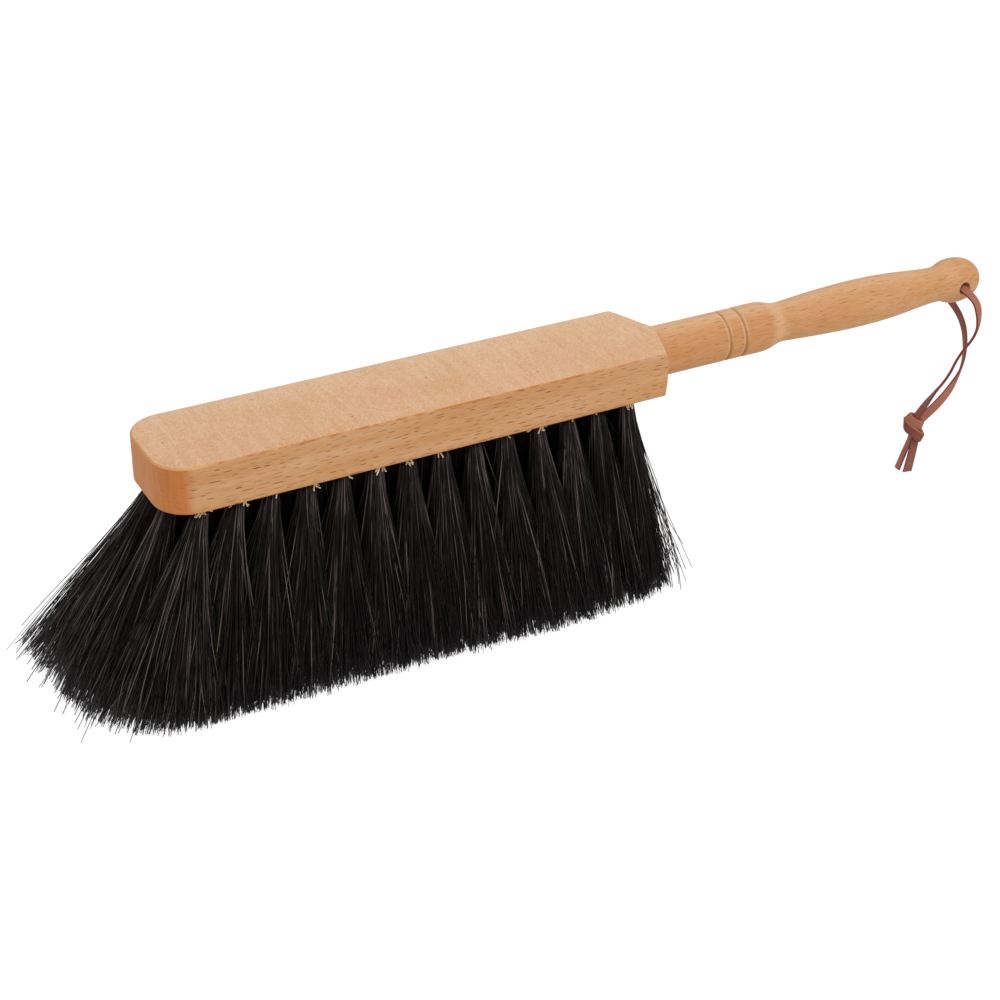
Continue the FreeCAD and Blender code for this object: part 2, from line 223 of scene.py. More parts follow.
def beechMaterial():
    material, tree = addMaterial("oiled_beech")
    place = addNode(tree, "TexCoord", out=None)
    scaled = addNode(tree, "VectorMath", [place.outputs["Object"], [1 / mm] * 3], operation="MULTIPLY")
    drift = addNode(tree, "TexNoise", {"Vector": scaled, "Scale": 1 / beech["drift"], "Detail": 1}, "Color")
    reach = beech["driftReach"]
    wander = addNode(tree, "VectorMath", [drift, (0, reach, reach), (0, -reach / 2, -reach / 2)],
                     operation="MULTIPLY_ADD")
    grain = addNode(tree, "VectorMath", [scaled, wander], operation="ADD")

    # what the masks read: where the surface lies, which way it faces, and the soft patterns
    spot = addNode(tree, "SeparateXYZ", [scaled], None).outputs
    facing = addNode(tree, "SeparateXYZ", [place.outputs["Normal"]], None).outputs
    drifted = addNode(tree, "SeparateXYZ", [grain], None).outputs
    read = {"aside": spot["Y"], "height": spot["Z"]}
    read["fromEnd"] = addNode(tree, "Math", [spot["X"], freeEnd / mm], operation="SUBTRACT")
    for axis in "XYZ":
        read["face" + axis] = facing[axis]
    for name, axis in (("endways", "X"), ("sideways", "Y")):
        read[name] = addNode(tree, "Math", [facing[axis]], operation="ABSOLUTE")
    for name, (size, detail) in beech["patterns"].items():
        cell = addNode(tree, "VectorMath", [grain, size], operation="DIVIDE")
        read[name] = addNode(tree, "TexNoise", {"Vector": cell, "Scale": 1, "Detail": detail}, "Fac")

    masks = {}

    def shared(*names):
        # how far all the named masks allow a layer; a mask is made when it is first named
        for name in names:
            if name not in masks:
                source, *numbers = beech["masks"][name]
                masks[name] = addNode(tree, "MapRange", [read[source], *numbers])
        share = masks[names[0]]
        for name in names[1:]:
            share = addNode(tree, "Math", [share, masks[name]], operation="MULTIPLY")
        return share

    def lay(colour, tone, *names):
        # a tone laid over the colour where all the named masks allow it
        tone = linear(beech[tone]) if isinstance(tone, str) else tone
        mix = {"Factor": shared(*names), "A": colour, "B": tone}
        return addNode(tree, "Mix", mix, "Result", data_type="RGBA")

    def ring(station, start, end, strength):
        # a soft ring round the handle
        gap = addNode(tree, "Math", [read["fromEnd"], station], operation="SUBTRACT")
        gap = addNode(tree, "Math", [gap], operation="ABSOLUTE")
        return addNode(tree, "MapRange", [gap, start, end, strength, 0])

    # the block's top, and the fine pattern: felted specks and faint ripples there, fibres elsewhere
    read["onTop"] = masks["onTop"] = shared("facesUp", "topHeight")
    felted = {"Factor": beech["rippleShare"], "A": read["felt"], "B": read["ripple"]}
    felted = addNode(tree, "Mix", felted, "Result")
    fine = {"Factor": read["onTop"], "A": shared("fibres"), "B": felted}
    read["fine"] = addNode(tree, "Mix", fine, "Result")

    # ray flecks lie in uneven cells along the block's sides, across its round corner and round the handle
    onBlock = shared("onBlock")
    overAxis = addNode(tree, "Math", [spot["Z"], beech["handleAxis"]], operation="SUBTRACT")
    angle = addNode(tree, "Math", [spot["Y"], overAxis], operation="ARCTAN2")
    roundHandle = addNode(tree, "Math", [angle, beech["handleRadius"]], operation="MULTIPLY")
    across = addNode(tree, "Mix", {"Factor": onBlock, "A": roundHandle, "B": drifted["Z"]}, "Result")
    roundCorner = addNode(tree, "Math", [spot["Y"], onBlock], operation="MULTIPLY")
    along = addNode(tree, "Math", [drifted["X"], roundCorner], operation="SUBTRACT")
    inRows = addNode(tree, "CombineXYZ", [along, across])
    fleckPlace = addNode(tree, "VectorMath", [inRows, (*beech["fleckSpacing"], 1)], operation="DIVIDE")
    cells = addNode(tree, "TexVoronoi", {"Vector": fleckPlace, "Scale": 1}, None, voronoi_dimensions="2D")
    chance = addNode(tree, "SeparateXYZ", [cells.outputs["Color"]], None).outputs
    stretch = []
    for luck, spacing, half in zip("XZ", beech["fleckSpacing"], (beech["fleckLength"], beech["fleckWidth"])):
        stretch.append(addNode(tree, "MapRange", [chance[luck], 0, 1, spacing / half[0], spacing / half[1]]))
    stretch = addNode(tree, "CombineXYZ", stretch)
    away = addNode(tree, "VectorMath", [fleckPlace, cells.outputs["Position"]], operation="SUBTRACT")
    away = addNode(tree, "VectorMath", [away, stretch], operation="MULTIPLY")
    read["fleckReach"] = addNode(tree, "VectorMath", [away], "Value", operation="LENGTH")

    # soft patches on top, paler towards the far edge, and long bands on the sides
    topColour, colour = (
        addNode(tree, "ValToRGB", [read[name]], stops=list(zip(beech["toneStops"], beech[tones])))
        for name, tones in (("topPatch", "topTones"), ("sideBand", "sideTones")))
    topColour = lay(topColour, "farTop", "farEdge")
    colour = lay(colour, topColour, "onTop")

    # painted light and shade on the turned handle: warmer and darker at the near side as painted shade,
    # lighter below as painted bounce light, and paler towards the block, in the cove, on top and behind as
    # painted highlights
    masks["ownSide"] = shared("onHandle", "offTop")
    masks["inCove"] = ring(*beech["cove"])
    colour = lay(colour, "handle", "warmBelow", "warmAbove", "warmAlong", "ownSide")
    colour = lay(colour, lay(linear(beech["neckLow"]), "handleLow", "lowAlong"), "facesDown", "ownSide")
    for names in (("facesBlock", "notBelow"), ("inCove",), ("crown",), ("facesFar",)):
        colour = lay(colour, "pale", *names, "ownSide", "beforeKnob")

    # the sides are darker orange along their foot, and the fine pattern lies over all of it
    colour = lay(colour, "foot", "atFoot", "onBlock")
    colour = lay(colour, "fineDark", "dark")
    colour = lay(colour, "fineLight", "light")

    # flecks of differing darkness, on the sides and all round the handle
    darkness = addNode(tree, "MapRange", [chance["Y"], 0, 1, *beech["fleckDarkness"]])
    masks["darkness"] = addNode(tree, "Math", [darkness, 2], operation="POWER")
    sides = [shared("onFlank", "onBlock"), shared("ownSide", "offKnobEnd")]
    masks["fleckSide"] = addNode(tree, "Math", sides, operation="MAXIMUM")
    colour = lay(colour, "fleck", "inFleck", "darkness", "fleckSide")

    # a few dark specks on top
    spacing = beech["speckSpacing"]
    speckPlace = addNode(tree, "VectorMath", [scaled, [spacing] * 3], operation="DIVIDE")
    speckGap = addNode(tree, "TexVoronoi", {"Vector": speckPlace, "Scale": 1}, "Distance",
                       voronoi_dimensions="2D")
    inner, outer = (radius / spacing for radius in beech["speckRadius"])
    masks["inSpeck"] = addNode(tree, "MapRange", [speckGap, inner, outer, beech["speckDarkness"], 0])
    colour = lay(colour, "speck", "inSpeck", "onTop")

    # the round end drinks the oil: orange, with faint upright lines, paler in the middle of the end
    endTone = lay(linear(beech["corner"]), "end", "endMiddle")
    endTone = addNode(tree, "Mix", {"Factor": 1, "A": endTone, "B": shared("endLines")}, "Result",
                      data_type="RGBA", blend_type="MULTIPLY")
    endTone = lay(endTone, "fleck", "faintFleck", "darkness")
    colour = lay(colour, endTone, "atCorner", "atEnd")

    # the block's top rim is darker orange in uneven runs, and pale round the end
    masks["onRim"] = shared("rimBelow", "rimAbove", "rimAlong")
    colour = lay(colour, "rim", "onRim", "rimRuns", "pastEnd")
    colour = lay(colour, "endRim", "onRim", "endRimShare")

    # turned grooves, painted dark as shade in them, with a pale lip on the block's side
    for tone, *numbers in beech["rings"]:
        masks["inRing"] = ring(*numbers)
        colour = lay(colour, tone, "inRing")

    relief = addNode(tree, "Bump", {"Height": read["fine"], "Strength": 0.2, "Distance": 0.1 * mm})
    surface = addNode(tree, "BsdfPrincipled", {
        "Base Color": colour, "Roughness": shared("roughness"), "IOR": 1.45, "Specular IOR Level": 0.35,
        "Normal": relief})
    addNode(tree, "OutputMaterial", {"Surface": surface}, None)
    return material


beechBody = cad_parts["beech_body"]
beechBody.data.materials.clear()
beechBody.data.materials.append(beechMaterial())
print("beech body dressed")


# Steel wire, drawn: grey with fine bright and dull runs, deep in the holes
def wireMaterial():
    material, tree = addMaterial("drawn_steel_wire")
    place = addNode(tree, "TexCoord", out="Object")
    runs = addNode(tree, "TexNoise", {"Vector": place, "Scale": 1 / (0.4 * mm)}, "Fac")
    dull = addNode(tree, "MapRange", {"Value": runs, "To Min": 0.3, "To Max": 0.5})
    surface = addNode(tree, "BsdfPrincipled", {
        "Base Color": linear("#B4B4B2"), "Metallic": 1.0, "Roughness": dull})
    addNode(tree, "OutputMaterial", {"Surface": surface}, None)
    return material


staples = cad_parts["staples"]
staples.data.materials.clear()
staples.data.materials.append(wireMaterial())


# Horsehair, dyed black: near black with a soft shine, painted highlights along single hairs, here and there a
# brown or fair one
horsehair = {
    "outerHairs": 1150,         # hairs in a tuft that shows
    "innerHairs": 420,
    "bends": 5,                 # rings along a hair between its ends
    "rootRadius": 0.165 * mm,
    "tipRadius": 0.13 * mm,
    "girth": (0.9, 0.7),        # thickness of a dark hair, and how much stouter the lightest one is
    "strayGirth": 1.3,
    "bundle": 2.3 * mm,         # radius of the folded bundle in its hole
    "rootDepth": 4 * mm,        # hairs start this far up the hole
    "flare": (0.16, 0.64),      # share of the spread reached a third and two thirds of the way down
    "lockGrid": 13,             # locks along each side of a tuft's patch of tips
    "lockJitter": 0.08,         # unevenness of the locks' places, as a share of half the patch
    "lockSpread": 0.06,         # how loose a lock's tips and roots are
    "lockBend": 1.5 * mm,
    "lockTone": 0.3,            # the lightest lock, where no light falls
    "toneScatter": 0.05,
    "loners": 0.45,             # share of hairs that belong to no lock
    "lonerReach": 1.5,          # how far these reach along the row, in patches
    "patchEdge": 1.05,          # no loner stands further out than this at the broom's ends
    "crossing": 0.65,           # how far a lock's root lies from its place in the bundle
    "spill": 1.2,               # tips reach past their own patch among the neighbours'
    "wave": 1.7 * mm,
    "bendShares": (0.25, 1.3),  # how much of the bend shows a third and two thirds of the way down
    "crimp": 0.9 * mm,
    "crimpTurns": (5, 9),       # radians along a hair
    "ragged": 3.6 * mm,         # unevenness of the locks' tips
    "tipHeight": 0.2 * mm,
    "tipScatter": 0.3 * mm,
    # hairs that stand off, at the free end, along the broom and at the handle's end
    "strays": {-1: 0.04, 0: 0.007, 1: 0.12},
    "strayReach": {-1: 1.5 * mm, 0: 0, 1: 9 * mm},
    "strayBow": {-1: 0.3, 0: 0.4, 1: 0.6},
    "strayScatter": 3.5 * mm,
    "strayLift": 10 * mm,
    "strayBend": 1.7,
    "wanderers": 0.007,         # hairs that bow across the others, and how much more they bend
    "wandererBend": 5,
    "fringe": 2.5 * mm,         # loose hairs past the dense edge at the free end
    "fringeShare": 0.26,
    "thinning": 0.4,            # share of that edge's own hairs that stand further in
    "thinEdge": -0.35,          # where that edge begins, in half patches
    # light on the hairs
    "glints": 0.7,              # share of hairs with a painted highlight along a stretch
    "glintPlace": {-1: 0.9, 0: 1.9, 1: 1.9},    # the higher, the nearer to the mouth
    "glintReach": (0.08, 0.22),  # how long that stretch is, as a share of the hair
    "glintLight": (0.3, 1.2),
    "lightest": 0.88,
    "endShine": 1.7,            # the tufts at the free end get stronger painted highlights
    "innerShine": 0.35,         # and those inside weaker ones, as painted shade
    # brown and fair hairs: their share, tone and how long that stretch is
    "odd": ((0.008, 0.93, 0.3), (0.002, 1.0, 0.2)),
    "widest": 55 * mm,          # no hair reaches further to the side
    "furthest": 62 * mm,        # or past the free end
    "underside": 91.2 * mm,
    "tuftsInRow": 14,
    # mouth line of each row, its first mouth from the free end and its pitch
    "rows": {
        "near_outer": (-19 * mm, 18 * mm, 16 * mm),
        "near_inner": (-19 / 3 * mm, 10 * mm, 16.9 * mm),
        "far_inner": (19 / 3 * mm, 10 * mm, 16.9 * mm),
        "far_outer": (19 * mm, 18 * mm, 16 * mm),
    },
    # outline of the fan at the free end, in millimetres: how far the tips reach past the block, by width
    "fanWidth": (-46, -43, -32, -23, -7, 15, 46),
    "fanReach": (-7, -17, -28, -34.5, -39, -40, -43),
    "fanBlend": 70,             # this far along the block the fan's outline has faded
    # the near side: where it starts, how far the solid tufts reach, and how far the hairs do along the block
    "nearStart": -23,
    "nearSolid": -45.7,
    "nearAlong": (0, 110, 180, 232),
    "nearReach": (-45.5, -48, -52, -48.5),
    "rightStart": 218,          # from here on the tips are drawn in and rise a little
    "rightDraw": 0.27,
    "rightRun": 18,
    "rightRise": 4 * mm,
}


def horsehairMaterial():
    material, tree = addMaterial("dyed_horsehair")
    kind = addNode(tree, "Attribute", out="Fac", attribute_name="hairToneAndGlint")
    # stops 0.6 and 0.85 are the painted highlights, 0.93 and 1 the brown and fair hairs
    colour = addNode(tree, "ValToRGB", {"Fac": kind}, stops=[
        (0.0, "#030202"), (0.3, "#090606"), (0.6, "#342C2D"), (0.85, "#6B5F60"), (0.93, "#57473B"),
        (1.0, "#96835F")])
    surface = addNode(tree, "BsdfPrincipled", {
        "Base Color": colour, "Roughness": 0.3, "IOR": 1.55, "Specular IOR Level": 0.2,
        "Specular Tint": linear("#FFF0EE")})
    addNode(tree, "OutputMaterial", {"Surface": surface}, None)
    return material


def makeStrand():
    # one hair: a three-sided cone of unit length, ringed so that it can curve
    deselectAll()
    bpy.ops.mesh.primitive_cone_add(vertices=3, radius1=horsehair["rootRadius"],
                                    radius2=horsehair["tipRadius"], depth=1, location=(0, 0, 0.5))
    strand = bpy.context.object
    bpy.ops.object.transform_apply(location=True)
    bpy.ops.object.mode_set(mode="EDIT")
    bpy.ops.mesh.select_mode(type="EDGE")
    bpy.ops.mesh.select_all(action="DESELECT")
    bpy.ops.object.mode_set(mode="OBJECT")
    for edge in strand.data.edges:
        low, high = (strand.data.vertices[i].co.z for i in edge.vertices)
        edge.select = abs(high - low) > 0.5
    bpy.ops.object.mode_set(mode="EDIT")
    bpy.ops.mesh.subdivide(number_cuts=horsehair["bends"])
    bpy.ops.object.mode_set(mode="OBJECT")
    points = np.array([v.co for v in strand.data.vertices])
    faces = [tuple(p.vertices) for p in strand.data.polygons]
    bpy.data.objects.remove(strand)
    return points, faces


def trimOutline(tips, rowReach):
    # draw the tips out to the fan's outline at the free end and along the near side
    look = horsehair
    x, y = (tips[:, 0] - freeEnd) / mm, tips[:, 1] / mm
    reach = np.interp(y, look["fanWidth"], look["fanReach"])
    share = np.clip((look["fanBlend"] - x) / (look["fanBlend"] - rowReach), 0, 1.3)
    x = x + (reach - rowReach) * share ** 2
    x = x - np.maximum(x - look["rightStart"], 0) * look["rightDraw"]
    near = np.interp(x, look["nearAlong"], look["nearReach"])
    start = look["nearStart"]
    y = np.where(y < start, start + (y - start) * (near - start) / (look["nearSolid"] - start), y)
    return np.stack([freeEnd + x * mm, y * mm], axis=1)


def tuftPatch(nodeName):
    # the tuft's patch of trimmed tips on the floor, from its solid
    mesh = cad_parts[nodeName].data
    points = np.zeros(len(mesh.vertices) * 3, np.float32)
    mesh.vertices.foreach_get("co", points)
    points = points.reshape(-1, 3)
    tips = points[points[:, 2] < 0.1 * mm]
    return tips.min(0).astype(float), tips.max(0).astype(float)


def hairTones(darkTones, outward, shine, rng):
    # dark, with a painted highlight along a stretch of some hairs and a few brown or fair ones; also gives
    # how light each is
    look = horsehair
    count = len(darkTones)
    t = np.linspace(0, 1, look["bends"] + 2)[None, :]
    centre = rng.uniform(0, 1, (count, 1)) ** look["glintPlace"][outward]
    reach = rng.uniform(*look["glintReach"], (count, 1))
    shiny = rng.random((count, 1)) < look["glints"]
    light = np.where(shiny, rng.uniform(*look["glintLight"], (count, 1)), 0)
    glint = light * shine * np.exp(-((t - centre) / reach) ** 2)
    tones = darkTones[:, None] + rng.exponential(look["toneScatter"], (count, 1)) + glint
    tones = np.clip(tones, 0, look["lightest"])
    chance = rng.random(count)
    for share, tone, length in look["odd"]:
        odd = chance < share
        tones[odd] += (tone - tones[odd]) * np.exp(-((t - centre[odd]) / length) ** 2)
    return tones, light[:, 0]


def hairPaths(nodeName, mouth, rowReach, count, outward, shine, rng):
    # the curves of a tuft's hairs, their tones and girths; outward is -1 or 1 at the broom's two ends
    look = horsehair
    low, high = tuftPatch(nodeName)
    middle, half = (low + high) / 2, (high - low) / 2 * look["spill"]
    up = Vector(mouth - middle).normalized()
    side = Vector((0, 1, 0)).cross(up).normalized()
    up, side, across = np.array(up), np.array(side), np.array(up.cross(side))

    # locks stand in an uneven grid, each with its own root, bend, length and tone
    step = (np.arange(look["lockGrid"]) + 0.5) / look["lockGrid"] * 2 - 1
    lockTip = np.array([(u, v) for u in step for v in step])
    edge = look["patchEdge"]
    loners = rng.uniform(-edge, edge, (int(count * look["loners"]), 2))
    loners[:, 0] *= look["lonerReach"]
    if outward:
        loners[:, 0] = np.clip(loners[:, 0], *((-edge, None) if outward < 0 else (None, edge)))
    lockTip = np.concatenate([lockTip, loners])
    locks = len(lockTip)
    lockTip += rng.uniform(-look["lockJitter"], look["lockJitter"], (locks, 2))
    lockRoot = lockTip * (np.abs(lockTip).max(1) / np.linalg.norm(lockTip, axis=1))[:, None]
    lockRoot += rng.normal(0, look["crossing"], (locks, 2))
    lockBend = rng.normal(0, look["lockBend"], (2, locks, 3))
    lockEnd = look["ragged"] * rng.beta(1.1, 2.4, locks)
    lockTone = rng.uniform(0, look["lockTone"], locks)
    lock = np.concatenate([np.arange(locks), rng.integers(0, look["lockGrid"] ** 2, count - locks)])

    # each hair lies near its lock's line, from the round bundle to the square patch of tips
    square = lockTip[lock] + rng.normal(0, look["lockSpread"], (count, 2))
    inBundle = lockRoot[lock] + rng.normal(0, look["lockSpread"], (count, 2))
    inBundle /= np.maximum(1, np.linalg.norm(inBundle, axis=1))[:, None]
    if outward < 0:
        further = (square[:, 0] < look["thinEdge"]) & (rng.random(count) < look["thinning"])
        square[further, 0] = rng.uniform(look["thinEdge"], 1, further.sum())
    tips = middle + np.concatenate([square * half[:2], np.zeros((count, 1))], axis=1)
    tips[:, :2] = trimOutline(tips, rowReach)
    tips[:, 2] = look["tipHeight"] + lockEnd[lock] + rng.exponential(look["tipScatter"], count)
    pastEnd = (tips[:, 0] - freeEnd) / mm - look["rightStart"]
    tips[:, 2] += look["rightRise"] * np.clip(pastEnd / look["rightRun"], 0, 1) ** 2
    if outward < 0:
        tips[:, 0] -= rng.exponential(look["fringe"], count) * (rng.random(count) < look["fringeShare"])

    # strays stand off, most of them outward and a little lifted
    stray = rng.random(count) < look["strays"][outward]
    astray = rng.normal(0, look["strayScatter"], (count, 3))
    astray[:, 0] += outward * look["strayReach"][outward] * np.abs(rng.normal(0, 1, count))
    astray[:, 2] = look["strayLift"] * rng.random(count) ** 3
    astray *= stray[:, None]
    straightTips = tips
    tips = tips + astray
    tips[:, 0] = np.maximum(tips[:, 0], freeEnd - look["furthest"])
    tips[:, 1] = np.clip(tips[:, 1], -look["widest"], look["widest"])

    # a cubic curve that keeps together below the mouth, then spreads, with the lock's bend and the hair's own
    inHole = look["bundle"] * (inBundle[:, :1] * side + inBundle[:, 1:] * across)
    root = mouth + up * look["rootDepth"] + inHole
    travel = straightTips - root
    downward = (travel @ up)[:, None] * up
    spread = travel - downward
    bend = lockBend[:, lock] + rng.normal(0, look["wave"], (2, count, 3))
    wanders = rng.random(count) < (0 if outward else look["wanderers"])
    bend *= np.where(stray, look["strayBend"], np.where(wanders, look["wandererBend"], 1))[None, :, None]
    leave, arrive = (root + downward * part + spread * flare + bent * share for part, flare, bent, share
                     in zip((1 / 3, 2 / 3), look["flare"], bend, look["bendShares"]))
    arrive += astray * look["strayBow"][outward]
    t = np.linspace(0, 1, look["bends"] + 2)[None, :, None]
    weights = [(1 - t) ** 3, 3 * t * (1 - t) ** 2, 3 * t * t * (1 - t), t ** 3]
    paths = sum(w * p[:, None, :] for w, p in zip(weights, (root, leave, arrive, tips)))
    crimp = rng.normal(0, look["crimp"], (count, 1, 3)) * np.array([1, 1, 0.3])
    phase = rng.uniform(*look["crimpTurns"], (count, 1, 1)) * t + rng.uniform(0, 6.3, (count, 1, 1))
    paths += crimp * t ** 1.5 * (1 - t) * 3.2 * np.sin(phase)

    tones, light = hairTones(lockTone[lock], outward, shine, rng)
    girth = look["girth"][0] + look["girth"][1] * np.minimum(light, 1)
    return paths, tones, np.where(stray, look["strayGirth"], girth)


def layStrands(name, strand, paths, tones, girth, rng):
    # the modelled hair, bent along every path
    points, faces = strand
    ring = np.rint(points[:, 2] * (paths.shape[1] - 1)).astype(int)
    along = np.gradient(paths, axis=1)
    along /= np.linalg.norm(along, axis=2)[:, :, None]
    spin = rng.random(len(paths)) * 2 * math.pi
    start = np.stack([np.cos(spin), np.sin(spin), np.zeros(len(paths))], axis=1)[:, None, :]
    first = np.cross(along, start)
    first /= np.linalg.norm(first, axis=2)[:, :, None]
    second = np.cross(along, first)
    offset = points[None] * girth[:, None, None]
    places = paths[:, ring] + offset[:, :, :1] * first[:, ring] + offset[:, :, 1:2] * second[:, ring]
    places = places.reshape(-1, 3)
    starts = range(0, len(places), len(points))
    mesh = bpy.data.meshes.new(name)
    mesh.from_pydata(places, [], [tuple(i + begin for i in face) for begin in starts for face in faces])
    tone = mesh.attributes.new("hairToneAndGlint", "FLOAT", "POINT")
    tone.data.foreach_set("value", tones[:, ring].ravel().astype(np.float32))
    mesh.shade_smooth()
    piece = bpy.data.objects.new(name, mesh)
    bpy.context.collection.objects.link(piece)
    return piece


def growTufts(strand):
    look = horsehair
    material = horsehairMaterial()
    rng = np.random.default_rng(7)
    last = look["tuftsInRow"] - 1
    for row, (mouthY, firstMouth, pitch) in look["rows"].items():
        rowReach = (tuftPatch("tuft_%s_01" % row)[0][0] - freeEnd) / mm
        for number in range(look["tuftsInRow"]):
            nodeName = "tuft_%s_%02d" % (row, number + 1)
            mouth = np.array([freeEnd + firstMouth + number * pitch, mouthY, look["underside"]])
            shows = "outer" in row or number in (0, last)
            count = look["outerHairs"] if shows else look["innerHairs"]
            outward = -1 if number == 0 else 1 if number == last else 0
            # painted light at the free end and painted shade inside, by the strength of the hairs' painted
            # highlights
            shine = look["innerShine"] if not shows else look["endShine"] if outward < 0 else 1
            paths, tones, girth = hairPaths(nodeName, mouth, rowReach, count, outward, shine, rng)
            piece = layStrands("hair_%s_%02d" % (row, number + 1), strand, paths, tones, girth, rng)
            piece.data.materials.append(material)
            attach(piece, "broom")
            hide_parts(nodeName)
        print("row", row, "grown")


strand = makeStrand()
growTufts(strand)


# Torn wood fibres left by the drill: pale little curls at the mouths of the holes
burrs = {
    "perMouth": 8,              # at most
    "length": (2.6 * mm, 4.8 * mm),
    "thickness": 3.0,           # in hairs
    "rim": 3.5 * mm,            # distance from the mouth's middle
    "sunk": 0.2 * mm,           # they start inside the wood
    "arc": 70,                  # they stand on the side away from the middle, this far round to each side
    "hang": 0.85,               # shares of the length: down, outward and to the side
    "stand": 0.3,
    "aside": (0.15, 0.4),
    "bow": (1.0, 3.2),          # radians to the side
}


def addBurrs(strand):
    material, tree = addMaterial("torn_beech_fibre")
    place = addNode(tree, "TexCoord", out="Object")
    mottle = addNode(tree, "TexNoise", {"Vector": place, "Scale": 1 / (1.5 * mm)}, "Fac")
    colour = addNode(tree, "ValToRGB", [mottle], stops=[(0.35, "#DDBF90"), (0.65, "#F4E6C6")])
    surface = addNode(tree, "BsdfPrincipled", {"Base Color": colour, "Roughness": 0.8})
    addNode(tree, "OutputMaterial", {"Surface": surface}, None)

    rng = np.random.default_rng(3)
    t = np.linspace(0, 1, horsehair["bends"] + 2)[:, None]
    down = np.array([0, 0, -1])
    curls = []
    for mouthY, firstMouth, pitch in horsehair["rows"].values():
        for number in range(horsehair["tuftsInRow"]):
            for _ in range(rng.integers(0, burrs["perMouth"] + 1)):
                facing = math.copysign(90, mouthY) + rng.uniform(-1, 1) * burrs["arc"]
                outward = np.array([math.cos(math.radians(facing)), math.sin(math.radians(facing)), 0])
                onward = np.array([-outward[1], outward[0], 0]) * rng.choice([-1, 1])
                mouth = np.array([freeEnd + firstMouth + number * pitch, mouthY, horsehair["underside"]])
                size = rng.uniform(*burrs["length"])
                bow = rng.uniform(*burrs["bow"])
                aside = rng.uniform(*burrs["aside"])
                curl = (down * np.sin(1.5 * t) * burrs["hang"] + outward * t * t * burrs["stand"]
                        + onward * (1 - np.cos(bow * t)) * aside)
                curls.append(mouth + outward * burrs["rim"] - down * burrs["sunk"] + curl * size)
    tones = np.zeros((len(curls), len(t)))
    girth = np.full(len(curls), burrs["thickness"])
    piece = layStrands("drill_burrs", strand, np.array(curls), tones, girth, rng)
    piece.data.materials.append(material)
    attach(piece, "broom")


addBurrs(strand)
print("burrs added")


# Leather lace: a flat strip in two legs from the hanging hole to the knot, the knot's two bands and two tails
lace = {
    "hole": Vector((handleEnd - 15.6 * mm, 0, 100.5 * mm)),
    "mouth": 11.2 * mm,         # half the knob's thickness at the hole
    "width": 4.4 * mm,
    "thickness": 1.4 * mm,
    "facets": 16,               # round the strip's section
    "softness": 0.45,           # of its corners, from square at 0 to round at 1
    # routes from the hole's middle, in millimetres
    "nearLeg": [(0, 0, 0.5), (-0.6, -19.2, -0.6), (2.2, -22.2, -10.5), (2.5, -21.7, -22),
                (-3.2, -17.4, -34.2), (-6.2, -15.1, -47.5), (-12.6, -11.4, -58.7), (-19.7, -10.1, -70.3)],
    "farLeg": [(0, 0, 0.5), (2.8, 19.4, -0.6), (9.8, 20.6, -9.6), (17, 17.6, -20.5), (22.6, 10.3, -31.5),
               (20.5, 3.1, -42.8), (14.5, -2.7, -52.8), (4.6, -6.6, -60.7), (-4.9, -8.4, -67),
               (-14.2, -7.8, -73.6), (-18.6, -9.2, -75.4)],
    # by share of the leg's length, how far its grain side is turned from facing the viewer to the right
    "nearTurns": [(0, 190), (0.1, 210), (0.18, 219), (0.265, 229), (0.315, 245), (0.365, 261), (0.42, 270),
                  (0.78, 272), (0.84, 285), (0.89, 303), (0.94, 315), (1, 320)],
    "farTurns": [(0, 170), (0.1, 150), (0.2, 70), (0.3, 0), (0.375, -48), (0.48, -58), (0.54, -65),
                 (0.62, -78), (0.67, -90), (0.71, -105), (0.735, -118), (0.785, -140), (0.87, -160),
                 (1, -168)],
}

knot = {
    "middle": (-20.2, -9.7, -75.0),          # from the hole's middle, in millimetres
    "axis": (0.358, -0.203, 0.911),          # towards the legs
    "width": 5.0 * mm,
    "thickness": 2.2 * mm,
    # each band: how far its upper edge lies across, deep and aside, its height and the lean of its face
    # at the left, front, right and back, and how much of the flesh side its face and its cut edges show
    "collar": {"across": 4.5, "deep": 3.6, "aside": -0.8, "height": (5.9, 5.7, 5.9, 5.9),
               "lean": (12, 10, 10, 10), "tones": (1.0, 0.85)},
    "belt": {"across": 7.1, "deep": 5.5, "aside": 0.35, "height": (1.8, 1.2, -0.2, 0.4),
             "lean": (-32, -18, 4, -25), "tones": (0.62, 0.95)},
    "core": (4.6, 3.6, 4.0),
    "coreDrop": 1.0 * mm,
    "leftTail": [(-20, -9.7, -77.5), (-20.6, -9.7, -81.8), (-23, -10, -86.7), (-25.6, -10.6, -92),
                 (-28.7, -11.7, -97.2)],
    "rightTail": [(-18.6, -10.6, -78), (-19, -11.5, -81.3), (-21, -13, -87.3), (-23.5, -14.8, -91.7),
                  (-26.6, -17.1, -96.7)],
    "leftTurns": [(0, 118), (1, 124)],
    "rightTurns": [(0, 35), (0.5, 28), (1, 10)],
    "leftCut": 0.4 * mm,
    "rightCut": 0.9 * mm,
}


